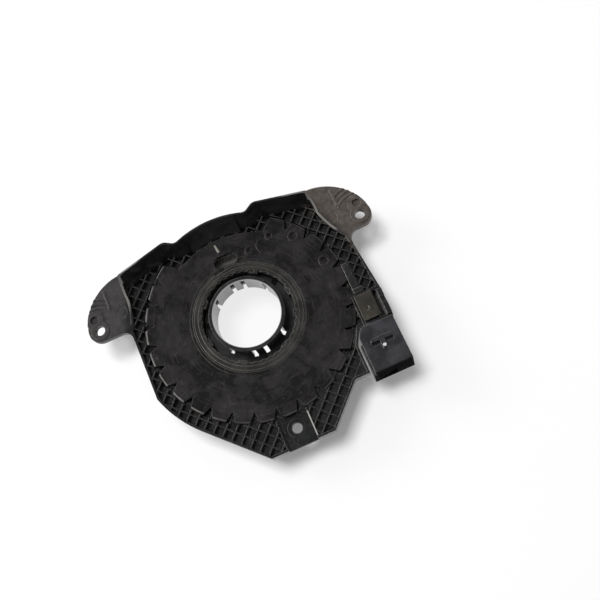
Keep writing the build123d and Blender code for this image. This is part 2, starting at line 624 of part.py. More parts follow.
def ribbon_cable():
    """Flat cable wound loosely between the hub and the drum, each half turn on its own centre."""
    start = math.hypot(HOLDER_IN_R + HOLDER_T, HOLDER_W/2) + RIBBON_SIDE_GAP + RIBBON_T/2
    end = outer_holder_x()[0] - RIBBON_SIDE_GAP - RIBBON_T/2
    growth = (end - start)/RIBBON_HALF_TURNS

    def half_turn(index, shift):
        side = 1 if index % 2 == 0 else -1
        centre = side*growth/2
        radius = start + growth*(index + 0.5) + shift
        return ThreePointArc((centre - side*radius, 0), (centre, -side*radius), (centre + side*radius, 0))

    outer = [half_turn(index, RIBBON_T/2) for index in range(RIBBON_HALF_TURNS)]
    inner = [half_turn(index, -RIBBON_T/2) for index in range(RIBBON_HALF_TURNS)]
    ends = [Line(inner[0] @ 0, outer[0] @ 0), Line(inner[-1] @ 1, outer[-1] @ 1)]
    low = CAVITY_Z + SLIDE_T + RIBBON_END_GAP
    return rise(make_face(outer + inner + ends), low, low + RIBBON_WIDTH)


def outer_lead():
    """Flat lead from the ribbon's holder, out through the drum and along the channel to the plug."""
    half = LEAD_W/2
    level = (FLOOR_TOP, FLOOR_TOP + LEAD_T)
    lead = bar((outer_holder_x()[1], CHANNEL_X + half), about(CHANNEL_Y, half), level)
    return lead + bar(about(CHANNEL_X, half), (POCKET_BACK_Y - LEAD_END, CHANNEL_Y + half), level)


def strip_cover():
    """Long narrow lid over the lead's channel, thicker at its end by the plug."""
    y_range = (CARRIER_Y[1] + SEAT_GAP, CHANNEL_Y + CHANNEL_W/2 + CHANNEL_WALL)
    side, length, height = HEAD_SIZE
    x_range = about(CHANNEL_X, STRIP_W/2)
    head_x = (x_range[0], x_range[1] + side)
    head = bar(head_x, (y_range[0], y_range[0] + length), (RIM_TOP, RIM_TOP + height))
    return bar(x_range, y_range, (RIM_TOP, RIM_TOP + STRIP_T)) + head


def terminal_cover():
    """Flat lid over the plug's terminals, with a small round dimple."""
    left, right, back = PLATE_LAPS
    x_range = (POCKET_X[0] - left, POCKET_X[1] + right)
    y_range = (CARRIER_Y[0] + PLATE_EDGE, POCKET_BACK_Y + back)
    top = CARRIER_TOP + PLATE_T
    lid = bar(x_range, y_range, (CARRIER_TOP, top))
    return lid - disc(PLATE_DIMPLE_R, top - PLATE_DIMPLE_DEPTH, top, PLUG_X, y_range[0] + PLATE_DIMPLE_AT)


def plug_frame():
    """Place of the plug's lower rear edge, with its mouth along local -Y."""
    turn = math.radians(PLUG_TILT)
    y = PLUG_REAR_Y - PLUG_HEIGHT*math.sin(turn)
    z = PLUG_REAR_Z - PLUG_HEIGHT*math.cos(turn)
    return Pos(PLUG_X, y, z)*Rot(-PLUG_TILT, 0, 0)


def plug_pin_places():
    """Local X and Z of each contact pin."""
    places = []
    for column in range(PLUG_COLUMNS):
        for row in range(PLUG_ROWS):
            x = (column - (PLUG_COLUMNS - 1)/2)*PIN_PITCH
            z = PLUG_HEIGHT/2 + (row - (PLUG_ROWS - 1)/2)*PIN_ROW_PITCH
            places.append((x, z))
    return places


def plug_housing():
    """Harness plug shell: open mouth, clipped rear corner, key rib and a T-shaped latch on top."""
    half = PLUG_WIDTH/2
    mouth = -PLUG_LENGTH
    cut_x, cut_y = CORNER_CUT
    shape = make_face(Polyline(
        (-half, mouth), (half, mouth), (half, 0), (-half + cut_x, 0), (-half, -cut_y), close=True))
    shell = rise(shape, 0, PLUG_HEIGHT)
    inner_end = mouth + SOCKET_DEPTH
    shell -= bar(about(0, half - PLUG_WALL), (mouth, inner_end), (PLUG_WALL, PLUG_HEIGHT - PLUG_WALL))
    neck_rise = PIN_ROW_PITCH*(PLUG_ROWS - 1)/2 + PIN_W/2 + NECK_MARGIN
    neck_end = PLUG_HEIGHT*math.sin(math.radians(PLUG_TILT)) + NECK_DEPTH
    shell += bar(about(0, NECK_HALF), (0, neck_end), about(PLUG_HEIGHT/2, neck_rise))
    top = PLUG_HEIGHT + LATCH_RISE
    bar_back = -LATCH_BACK
    bar_front = bar_back - LATCH_BAR[1]
    tip = bar_front - LATCH_STEM[1]
    shell += bar(about(0, LATCH_BAR[0]/2), (bar_front, bar_back), (PLUG_HEIGHT, top))
    ramp = make_face(Polyline(
        (bar_front, PLUG_HEIGHT), (tip, PLUG_HEIGHT), (tip + LATCH_RAMP, top), (bar_front, top), close=True))
    upright = Plane(origin=(-LATCH_STEM[0]/2, 0, 0), x_dir=(0, 1, 0), z_dir=(1, 0, 0))
    shell += extrude(upright*ramp, LATCH_STEM[0])
    shell += disc(LATCH_NUB_R, PLUG_HEIGHT, top + LATCH_NUB_RISE, 0, tip + LATCH_NUB_R)
    length, depth = LATCH_POCKET
    for pocket_x in ((LATCH_STEM[0]/2, LATCH_BAR[0]/2), (-LATCH_BAR[0]/2, -LATCH_STEM[0]/2)):
        shell -= bar(pocket_x, (bar_front - length, bar_front), (PLUG_HEIGHT - depth, PLUG_HEIGHT))
    shell += bar((-half - KEY_W, -half), (mouth, -KEY_BACK), (0, KEY_HEIGHT))
    hole = PIN_W/2 + PIN_GAP
    shell -= [bar(about(x, hole), (inner_end, neck_end), about(z, hole)) for x, z in plug_pin_places()]
    return plug_frame()*shell


def plug_pins():
    """Contact pins through the plug's rear wall."""
    span = (PIN_SETBACK - PLUG_LENGTH, PIN_TAIL)
    half = PIN_W/2
    pins = [bar(about(x, half), span, about(z, half)) for x, z in plug_pin_places()]
    return Compound([plug_frame()*pin for pin in pins])


def screw_places():
    """X and Y of the screws that hold the sleeve to the hub."""
    radius = (LEDGE_R + HUB_IN_R)/2
    angles = [math.radians(angle) for angle in SCREW_ANGLES]
    return [(radius*math.cos(angle), radius*math.sin(angle)) for angle in angles]


def rotor_hub():
    """Rotor moulding: plate that closes the drum, ribbon tube with the sleeve's ledge, and drive posts."""
    hub = tube(ROTOR_R, HUB_IN_R, ROTOR_Z, CAVITY_Z)
    hub += tube(HUB_R, HUB_IN_R, ROTOR_Z, COVER_Z)
    hub += tube(HUB_R, LEDGE_R, LEDGE_TOP - LEDGE_T, LEDGE_TOP)
    for x in about(0, POST_AT):
        hub += disc(POST_R, SOCKET_FOOT, ROTOR_Z, x, 0)
        hub -= disc(POST_HOLE_R, SOCKET_FOOT, ROTOR_Z, x, 0)
    for place in screw_places():
        hub -= disc(SCREW_R + SCREW_GAP, LEDGE_TOP - SCREW_BITE - SEAT_GAP, LEDGE_TOP, *place)
    return hub - inner_lead_tab(SEAT_GAP)


def bore_sleeve():
    """Sleeve round the steering shaft, with a bead on top, long slots and a screwed flange below."""
    sleeve = tube(SLEEVE_R, BORE_R, LEDGE_TOP, SLEEVE_TOP)
    sleeve += tube(SLEEVE_R + SLEEVE_LIP, BORE_R, SLEEVE_TOP - LIP_HEIGHT, SLEEVE_TOP)
    sleeve += tube(HUB_IN_R - SEAT_GAP, BORE_R, LEDGE_TOP, FLANGE_TOP)
    slot = bar((BORE_R - SLEEVE_WALL, SLEEVE_R + SLOT_CLEAR), about(0, SLOT_W/2),
               (LEDGE_TOP, SLEEVE_TOP - SLOT_LAND))
    for base in (SLOT_CENTRE, SLOT_CENTRE + 180):
        for spread in SLOT_SPREADS:
            sleeve -= [Rot(0, 0, angle)*slot for angle in about(base, spread)]
    sleeve -= [disc(SCREW_R + SCREW_SLACK, LEDGE_TOP, FLANGE_TOP, *place) for place in screw_places()]
    return sleeve


def rotor_screws():
    """Screws through the sleeve's flange into the hub's ledge, each with a cross in its head."""
    length, width, depth = CROSS_SIZE
    head_top = FLANGE_TOP + SCREW_HEAD_T
    level = (head_top - depth, head_top)
    cross = bar(about(0, length/2), about(0, width/2), level)
    cross += bar(about(0, width/2), about(0, length/2), level)
    screw = disc(SCREW_R, LEDGE_TOP - SCREW_BITE, FLANGE_TOP)
    screw += disc(SCREW_HEAD_R, FLANGE_TOP, head_top) - cross
    return Compound([Pos(x, y, 0)*screw for x, y in screw_places()])


def lock_collar():
    """Stepped collar that keeps the rotor in the cover, toothed inside, with clips down the hub tube."""
    first, second = [COLLAR_IN_R + width for width in COLLAR_STEPS]
    middle_z = COLLAR_TOP - COLLAR_STEP_RISE
    low_z = middle_z - COLLAR_STEP_RISE
    section = make_face(Polyline(
        (COLLAR_IN_R, COLLAR_TOP), (first, COLLAR_TOP), (first, middle_z), (second, middle_z),
        (second, low_z), (COLLAR_R, low_z), (COLLAR_R, COLLAR_Z), (HUB_R, COLLAR_Z), (HUB_R, COVER_Z),
        (COLLAR_IN_R, COVER_Z), close=True))
    collar = revolve(Plane.XZ*section, Axis.Z)
    tooth = disc(TOOTH_R, COLLAR_Z, COLLAR_TOP + OVER, COLLAR_IN_R - TOOTH_INSET, 0)
    collar -= [Rot(0, 0, 360*index/TEETH)*tooth for index in range(TEETH)]
    outer = arc_y(CLIP_W/2, COLLAR_IN_R)
    width = about(0, CLIP_W/2)
    clip = bar((outer - CLIP_T, outer), width, (COVER_Z - CLIP_DEPTH, COLLAR_Z))
    clip += bar((outer - CLIP_T, outer + CLIP_ROOT), width, (COVER_Z, COLLAR_Z))
    for angle in CLIP_ANGLES:
        collar += Rot(0, 0, angle)*clip
    notch_depth, notch_w = COLLAR_NOTCH
    notch_x = (COLLAR_R - notch_depth, COLLAR_R + OVER)
    notch = bar(notch_x, about(0, notch_w/2), (COLLAR_Z, COLLAR_TOP + OVER))
    return collar - Rot(0, 0, COLLAR_NOTCH_ANGLE)*notch


def inner_lead_tab(gap=0.0):
    """Upright tab of the inner lead up to the inner ribbon holder, or the slot for it when given a gap."""
    level = (ROTOR_Z - LEAD_T, HOLDER_LOW)
    return bar(about(-HOLDER_MIDDLE, LEAD_T/2 + gap), about(0, LEAD_W/2 + gap), level)


def inner_lead():
    """Flat lead under the rotor plate, from the inner ribbon holder round to both sockets."""
    inner, outer = about(HOLDER_MIDDLE, LEAD_W/2)
    level = (ROTOR_Z - LEAD_T, ROTOR_Z)
    half_ring = tube(outer, inner, *level) & bar((-FAR, 0), (-FAR, FAR), level)
    return half_ring + inner_lead_tab()


def socket_limits():
    """Limits in plan of a wheel-side socket before it is turned into place."""
    length, depth = SOCKET_SIZE
    return (SOCKET_IN_R, SOCKET_IN_R + depth), about(0, length/2)


def wheel_pin_places(name):
    """Local X and Y of one socket's pins."""
    middle = SOCKET_IN_R + SOCKET_SIZE[1]/2
    columns = WHEEL_PIN_COLUMNS[name]
    across = [(column - (columns - 1)/2)*WHEEL_PIN_PITCH for column in range(columns)]
    return [(middle + row, y) for y in across for row in WHEEL_PIN_ROWS[name]]


def wheel_socket(name):
    """Socket on the wheel side, open downwards."""
    x_range, y_range = socket_limits()
    roof = ROTOR_Z - SOCKET_WALL
    inside = [(low + SOCKET_WALL, high - SOCKET_WALL) for low, high in (x_range, y_range)]
    socket = bar(x_range, y_range, (SOCKET_FOOT, ROTOR_Z)) - bar(*inside, (SOCKET_FOOT, roof))
    hole = PIN_W/2 + PIN_GAP
    socket -= [bar(about(x, hole), about(y, hole), (roof, ROTOR_Z)) for x, y in wheel_pin_places(name)]
    return Rot(0, 0, SOCKET_TURNS[name])*socket


def wheel_pins(name):
    """Contact pins of one wheel-side socket."""
    level = (SOCKET_FOOT + WHEEL_PIN_SETBACK, ROTOR_Z)
    pins = [bar(about(x, PIN_W/2), about(y, PIN_W/2), level) for x, y in wheel_pin_places(name)]
    return Compound([Rot(0, 0, SOCKET_TURNS[name])*pin for pin in pins])


PARTS = {
    "base_housing": base_housing,
    "cassette_cover": cassette_cover,
    "upper_slide_ring": upper_slide_ring,
    "lower_slide_ring": lower_slide_ring,
    "outer_ribbon_holder": outer_ribbon_holder,
    "inner_ribbon_holder": inner_ribbon_holder,
    "ribbon_cable": ribbon_cable,
    "outer_lead": outer_lead,
    "inner_lead": inner_lead,
    "strip_cover": strip_cover,
    "terminal_cover": terminal_cover,
    "plug_housing": plug_housing,
    "plug_pins": plug_pins,
    "rotor_hub": rotor_hub,
    "bore_sleeve": bore_sleeve,
    "rotor_screws": rotor_screws,
    "lock_collar": lock_collar,
    "airbag_socket": lambda: wheel_socket("airbag"),
    "airbag_pins": lambda: wheel_pins("airbag"),
    "switch_socket": lambda: wheel_socket("switch"),
    "switch_pins": lambda: wheel_pins("switch"),
}

os.makedirs("parts", exist_ok=True)
for node, make in PARTS.items():
    export_step(make(), os.path.join("parts", node + ".step"))
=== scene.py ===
import logging
import math
from dataclasses import dataclass
from enum import Enum
from typing import Any, Protocol

import bmesh
import bpy
from mathutils import Matrix, Vector


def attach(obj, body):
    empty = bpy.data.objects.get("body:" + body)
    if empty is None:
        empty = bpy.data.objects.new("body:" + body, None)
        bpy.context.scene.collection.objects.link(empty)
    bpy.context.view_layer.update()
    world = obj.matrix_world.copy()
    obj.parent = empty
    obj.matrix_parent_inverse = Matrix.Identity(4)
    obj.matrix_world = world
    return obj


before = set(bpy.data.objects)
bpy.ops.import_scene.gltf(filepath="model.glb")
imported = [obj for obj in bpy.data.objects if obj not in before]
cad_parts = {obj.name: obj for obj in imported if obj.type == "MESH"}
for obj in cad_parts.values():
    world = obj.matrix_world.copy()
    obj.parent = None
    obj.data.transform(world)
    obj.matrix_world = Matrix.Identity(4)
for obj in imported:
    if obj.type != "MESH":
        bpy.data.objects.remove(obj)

# Looks of a steering clock spring. Sizes are in millimetres and turned into metres where a mesh is made.
# Z is the steering axis, the ribbed column side looks up, the ears lie towards +Y and the plug towards -Y.

log = logging.getLogger("clock_spring")
MM = 0.001
Colour = tuple[float, float, float, float]
Point = tuple[float, float, float]
Span = tuple[float, float]
Socket = bpy.types.NodeSocket
WHITE: Colour = (1.0, 1.0, 1.0, 1.0)
# Pale grey of edge wear and of the painted highlights on edges, rims and walls.
WEAR_AND_HIGHLIGHT_GREY: Colour = (0.4, 0.385, 0.365, 1.0)
PLUG_TILT = 10.0                    # degrees that the plug's mouth is turned up
LOOKS_UP: Span = (0.55, 0.95)       # height of the normal on faces that look up
NOISE_RANGE: Span = (0.3, 0.7)      # where nearly all of a soft random pattern lies
MIX_FIRST = 6                       # colour sockets of Blender's Mix node, which go by number
MIX_SECOND = 7
MIX_RESULT = 2
BEVEL_SAMPLES = 6                   # rays that feel for a sharp edge
WELD_REACH = 0.002                  # millimetres within which corners are joined
FLAT_ANGLE = 0.5                    # degrees within which faces count as one flat


class Body(Enum):
    """The two halves that turn against each other."""

    STATOR = "stator"
    ROTOR = "rotor"


class Slot(Enum):
    """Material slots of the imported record."""

    HOUSING = "housing_black"
    COVER = "cover_black"
    COLLAR = "collar_grey"
    ROTOR = "rotor_black"
    PLUG = "plug_grey"
    TERMINAL = "terminal_brown"
    STRIP = "strip_black"
    SOCKET = "socket_plastic"
    SLIDE = "slide_film"
    HOLDER = "holder_plastic"
    RIBBON = "ribbon_film"
    CONTACT = "contact_metal"
    SCREW = "screw_steel"


class Sum(Enum):
    """Sums that the finishes do on two patterns."""

    ADD = "ADD"
    TIMES = "MULTIPLY"
    HIGHER = "MAXIMUM"
    TURN = "ARCTAN2"
    WAVE = "SINE"
    ROOT = "SQRT"


class NodeRecipe:
    """Node tree of one material or of the world, with short calls for the nodes that the finishes share."""

    def __init__(self, owner: bpy.types.ID, output: str = "ShaderNodeOutputMaterial") -> None:
        """Empties the owner's node tree but for a new output node.

        Args:
            owner: The material or world.
            output: Blender's name for its output node.
        """
        owner.use_nodes = True
        self.tree = owner.node_tree
        self.tree.nodes.clear()
        self.output = self.tree.nodes.new(output)

    def add(self, kind: str, inputs: dict[str | int, Any] | None = None, **settings: Any) -> bpy.types.Node:
        """Adds one node.

        Args:
            kind: Blender's name for the node.
            inputs: A socket or a fixed value for each input that is set.
            **settings: The node's own options.

        Returns:
            The new node.
        """
        node = self.tree.nodes.new(kind)
        for key, value in settings.items():
            setattr(node, key, value)
        for key, value in (inputs or {}).items():
            if isinstance(value, Socket):
                self.tree.links.new(value, node.inputs[key])
            else:
                node.inputs[key].default_value = value
        return node

    def millimetres(self) -> Socket:
        """Position on the part in millimetres."""
        place = self.add("ShaderNodeTexCoord").outputs["Object"]
        return self.add("ShaderNodeVectorMath", {0: place, "Scale": 1/MM}, operation="SCALE").outputs[0]

    def axes(self, vector: Socket) -> tuple[Socket, Socket, Socket]:
        """The three values of a position or a direction."""
        parts = self.add("ShaderNodeSeparateXYZ", {0: vector}).outputs
        return parts["X"], parts["Y"], parts["Z"]

    def noise(self, place: Socket, size: float, detail: float = 3.0, rough: float = 0.55,
              warp: float = 0.0) -> Socket:
        """Soft random pattern.

        Args:
            place: Position to read it at, in millimetres.
            size: Rough size of one blotch in millimetres.
            detail: How many finer layers are added.
            rough: How strong the finer layers are.
            warp: How far the pattern is bent.

        Returns:
            The pattern, about 0.5 on average.
        """
        return self.add("ShaderNodeTexNoise", {
            "Vector": place, "Scale": 1/size, "Detail": detail, "Roughness": rough,
            "Distortion": warp}).outputs["Fac"]

    def step(self, value: Socket, low: float, high: float, start: float = 0.0, end: float = 1.0) -> Socket:
        """Smooth step of a value.

        Args:
            value: The value to map.
            low: Where the step begins.
            high: Where it ends.
            start: Result before the step.
            end: Result after it.

        Returns:
            The mapped value.
        """
        return self.add("ShaderNodeMapRange", {
            "Value": value, "From Min": low, "From Max": high, "To Min": start, "To Max": end},
            interpolation_type="SMOOTHSTEP").outputs["Result"]

    def within(self, value: Socket, span: Span, fade: float) -> Socket:
        """Marks where a value lies inside a span.

        Args:
            value: The value to test.
            span: Lowest and highest value.
            fade: How far inside each end the mark is full.

        Returns:
            1 inside the span and 0 outside it.
        """
        low, high = span
        return self.product(self.step(value, low, low + fade), self.step(value, high, high - fade))

    def sum(self, kind: Sum, first: Socket | float, second: Socket | float = 0.0) -> Socket:
        """Result of one sum.

        Args:
            kind: Which sum.
            first: A pattern or a number.
            second: A pattern or a number, where the sum takes two.

        Returns:
            The result.
        """
        return self.add("ShaderNodeMath", {0: first, 1: second}, operation=kind.value).outputs[0]

    def product(self, first: Socket, *others: Socket | float) -> Socket:
        """Several shares times each other.

        Args:
            first: The first share.
            *others: The shares or numbers that it is multiplied by.

        Returns:
            The product.
        """
        result = first
        for other in others:
            result = self.sum(Sum.TIMES, result, other)
        return result

    def blend(self, share: Socket, first: Socket | Colour, second: Socket | Colour) -> Socket:
        """Colour between two others.

        Args:
            share: 0 for the first colour and 1 for the second.
            first: A colour or its socket.
            second: A colour or its socket.

        Returns:
            The mixed colour.
        """
        mix = self.add("ShaderNodeMix", {0: share, MIX_FIRST: first, MIX_SECOND: second}, data_type="RGBA")
        return mix.outputs[MIX_RESULT]

    def rounded(self, radius: float) -> Socket:
        """Normal that is rounded near sharp edges, with the radius in millimetres."""
        return self.add("ShaderNodeBevel", {"Radius": radius*MM}, samples=BEVEL_SAMPLES).outputs[0]

    def bump(self, height: Socket, strength: float, depth: float, normal: Socket | None = None) -> Socket:
        """Normal of a fine relief.

        Args:
            height: Pattern of the relief.
            strength: How much of it shows, from 0 to 1.
            depth: Height of the relief in millimetres.
            normal: Normal that it lies on, where that isn't the mesh's own.

        Returns:
            The new normal.
        """
        inputs = {"Height": height, "Strength": strength, "Distance": depth*MM}
        if normal:
            inputs["Normal"] = normal
        return self.add("ShaderNodeBump", inputs).outputs[0]

    def facing_up(self) -> Socket:
        """How far a face looks up, from 0 to 1."""
        normal = self.add("ShaderNodeNewGeometry").outputs["Normal"]
        return self.step(self.axes(normal)[2], *LOOKS_UP)

    def reach(self, place: Socket) -> tuple[Socket, Socket]:
        """Distance from the steering axis, and the angle round it.

        Args:
            place: Position in millimetres.

        Returns:
            The distance in millimetres and the angle in radians.
        """
        x, y, _ = self.axes(place)
        squares = self.sum(Sum.ADD, self.product(x, x), self.product(y, y))
        return self.sum(Sum.ROOT, squares), self.sum(Sum.TURN, y, x)

    def finish(self, shader: bpy.types.Node) -> None:
        """Links the shader to the output."""
        self.tree.links.new(shader.outputs[0], self.output.inputs["Surface"])


@dataclass
class Coat:
    """What a finish has laid on so far: its colour, its roughness and how much it mirrors."""

    colour: Socket
    roughness: Socket
    shine: Socket | float


class Area(Protocol):
    """Area of a moulding that looks different from the rest."""

    def lay(self, recipe: NodeRecipe, place: Socket, coat: Coat) -> None:
        """Lays the area over the coat.

        Args:
            recipe: The tree to add to.
            place: Position in millimetres.
            coat: The coat so far, which is changed.
        """


@dataclass(frozen=True)
class MatteEars:
    """Matt, stained faces of the two ears, with a painted sheen that makes them browner and paler towards
    +X.
    """

    reach: Span = (64.0, 70.0)
    behind: Span = (2.0, 12.0)
    below: Span = (31.5, 30.0)
    across: Span = (-40.0, 40.0)
    left: Colour = (0.042, 0.0395, 0.0395, 1.0)
    right_sheen: Colour = (0.08, 0.068, 0.059, 1.0)
    stain_size: float = 3.2
    stain_shades: Span = (0.72, 1.3)
    added_roughness: float = 0.26

    def lay(self, recipe: NodeRecipe, place: Socket, coat: Coat) -> None:
        """Lays the ears' faces over the coat.

        Args:
            recipe: The tree to add to.
            place: Position in millimetres.
            coat: The coat so far, which is changed.
        """
        x, y, z = recipe.axes(place)
        share = recipe.product(
            recipe.step(recipe.reach(place)[0], *self.reach), recipe.step(y, *self.behind),
            recipe.step(z, *self.below))
        # Painted sheen: the ears' colour turns paler and browner towards +X.
        sheen_sides = recipe.blend(recipe.step(x, *self.across), self.left, self.right_sheen)
        cloud = recipe.noise(place, self.stain_size, detail=5.0, rough=0.65, warp=0.6)
        shade = recipe.step(cloud, *NOISE_RANGE, *self.stain_shades)
        stained = recipe.add("ShaderNodeVectorMath", {0: sheen_sides, "Scale": shade}, operation="SCALE")
        coat.colour = recipe.blend(share, coat.colour, stained.outputs[0])
        coat.roughness = recipe.sum(Sum.ADD, coat.roughness, recipe.product(share, self.added_roughness))


@dataclass(frozen=True)
class PaintedRimHighlight:
    """Painted highlight on the top of the rim that stands up along each ear's inner side."""

    inner: Span = (63.0, 65.0)
    outer: Span = (72.5, 71.5)
    height: Span = (29.05, 29.25)
    behind: Span = (15.0, 19.0)
    strength: float = 0.45
    colour: Colour = WEAR_AND_HIGHLIGHT_GREY

    def lay(self, recipe: NodeRecipe, place: Socket, coat: Coat) -> None:
        """Lays the rim's painted highlight over the coat.

        Args:
            recipe: The tree to add to.
            place: Position in millimetres.
            coat: The coat so far, which is changed.
        """
        _, y, z = recipe.axes(place)
        reach = recipe.reach(place)[0]
        share = recipe.product(
            recipe.step(reach, *self.inner), recipe.step(reach, *self.outer), recipe.step(z, *self.height),
            recipe.step(y, *self.behind), recipe.facing_up(), self.strength)
        # Painted highlight: up-facing faces along the rim's top turn pale grey.
        coat.colour = recipe.blend(share, coat.colour, self.colour)


@dataclass(frozen=True)
class PaintedWallHighlight:
    """Painted highlight along the top of the thin wall beside the lower screw pad."""

    across: Span = (7.9, 8.75)
    along: Span = (-71.5, -58.0)
    low: float = 27.2
    fade: float = 0.15
    colour: Colour = WEAR_AND_HIGHLIGHT_GREY

    def lay(self, recipe: NodeRecipe, place: Socket, coat: Coat) -> None:
        """Lays the painted highlight on the wall's top over the coat.

        Args:
            recipe: The tree to add to.
            place: Position in millimetres.
            coat: The coat so far, which is changed.
        """
        x, y, z = recipe.axes(place)
        share = recipe.product(
            recipe.step(z, self.low, self.low + self.fade), recipe.within(x, self.across, self.fade),
            recipe.within(y, self.along, self.fade))
        # Painted highlight: the wall's top turns pale grey.
        coat.colour = recipe.blend(share, coat.colour, self.colour)


@dataclass(frozen=True)
class PaintedBoreReflection:
    """Pale inside of the sleeve, a painted reflection of the white floor."""

    reach: Span = (18.4, 18.1)
    colour: Colour = (0.42, 0.42, 0.42, 1.0)

    def lay(self, recipe: NodeRecipe, place: Socket, coat: Coat) -> None:
        """Lays the painted reflection in the bore over the coat."""
        share = recipe.step(recipe.reach(place)[0], *self.reach)
        # Painted reflection: the sleeve's inner wall turns light grey.
        coat.colour = recipe.blend(share, coat.colour, self.colour)


@dataclass(frozen=True)
class PaintedShadeMouth:
    """Mouth, inside and latch pockets of the tilted plug, painted darker as shade and set to mirror
    nothing.
    """

    corner: Point = (57.65, -33.47, 19.19)
    half_width: float = 9.05
    levels: Span = (1.1, 12.25)
    back: float = -8.9
    front: float = -25.4
    fade: float = 0.08
    side_fade: float = 2.0
    colour: Colour = (0.018, 0.0172, 0.0177, 1.0)
    roughness: float = 0.9

    def share(self, recipe: NodeRecipe, place: Socket) -> Socket:
        """Marks the inside, the pockets and the front edge.

        Args:
            recipe: The tree to add to.
            place: Position in millimetres.

        Returns:
            1 in the mouth and 0 elsewhere.
        """
        turned = recipe.add("ShaderNodeMapping", {
            "Vector": place, "Location": self.corner, "Rotation": (math.radians(-PLUG_TILT), 0.0, 0.0)},
            vector_type="TEXTURE").outputs[0]
        x, y, z = recipe.axes(turned)
        low, high = self.levels
        limit = (self.half_width + self.fade)**2
        inside = recipe.product(
            recipe.step(recipe.product(x, x), limit + self.side_fade, limit),
            recipe.within(z, (low - 2*self.fade, high + 2*self.fade), self.fade),
            recipe.step(y, self.back + 2*self.fade, self.back + self.fade))
        edge = recipe.step(y, self.front + 4*self.fade, self.front + self.fade)
        return recipe.sum(Sum.HIGHER, inside, edge)

    def lay(self, recipe: NodeRecipe, place: Socket, coat: Coat) -> None:
        """Lays the mouth's painted shade over the coat.

        Args:
            recipe: The tree to add to.
            place: Position in millimetres.
            coat: The coat so far, which is changed.
        """
        share = self.share(recipe, place)
        # Painted shade: the inside, the pockets and the front edge turn darker and lose their gloss.
        coat.colour = recipe.blend(share, coat.colour, self.colour)
        coat.roughness = recipe.sum(Sum.HIGHER, coat.roughness, recipe.product(share, self.roughness))
        coat.shine = recipe.step(share, 0.0, 1.0, coat.shine, 0.0)


@dataclass(frozen=True)
class EdgeWearAndHighlight:
    """Sharp edges painted pale where they look up, partly as real wear and partly as a painted highlight,
    most of all on the side that faces the light.
    """

    share: float = 0.85
    far_share: float = 0.15
    thin_share: float = 0.6
    thin_span: Span = (0.3, 0.6)
    radius: float = 0.35
    # Side that faces the edge light: edges that lean this way get the most painted highlight.
    side: Point = (-0.92, 0.4, 0.0)
    lean: Span = (0.0, 0.45)
    steepest: Span = (0.42, 0.6)
    flattest: Span = (0.97, 0.88)

    def mark(self, recipe: NodeRecipe, rounded: Socket, patch: Socket) -> Socket:
        """Marks the pale edges, real wear and painted highlight together.

        Args:
            recipe: The tree to add to.
            rounded: Normal that is rounded near sharp edges.
            patch: Pattern by which the wear is thicker or thinner.

        Returns:
            How much of the surface is painted pale, from 0 to 1.
        """
        height = recipe.axes(rounded)[2]
        lean = recipe.add("ShaderNodeVectorMath", {0: rounded, 1: self.side}, operation="DOT_PRODUCT")
        return recipe.product(
            recipe.step(height, *self.steepest), recipe.step(height, *self.flattest),
            recipe.step(lean.outputs["Value"], *self.lean, self.far_share, 1.0),
            recipe.step(patch, *self.thin_span, self.thin_share*self.share, self.share))


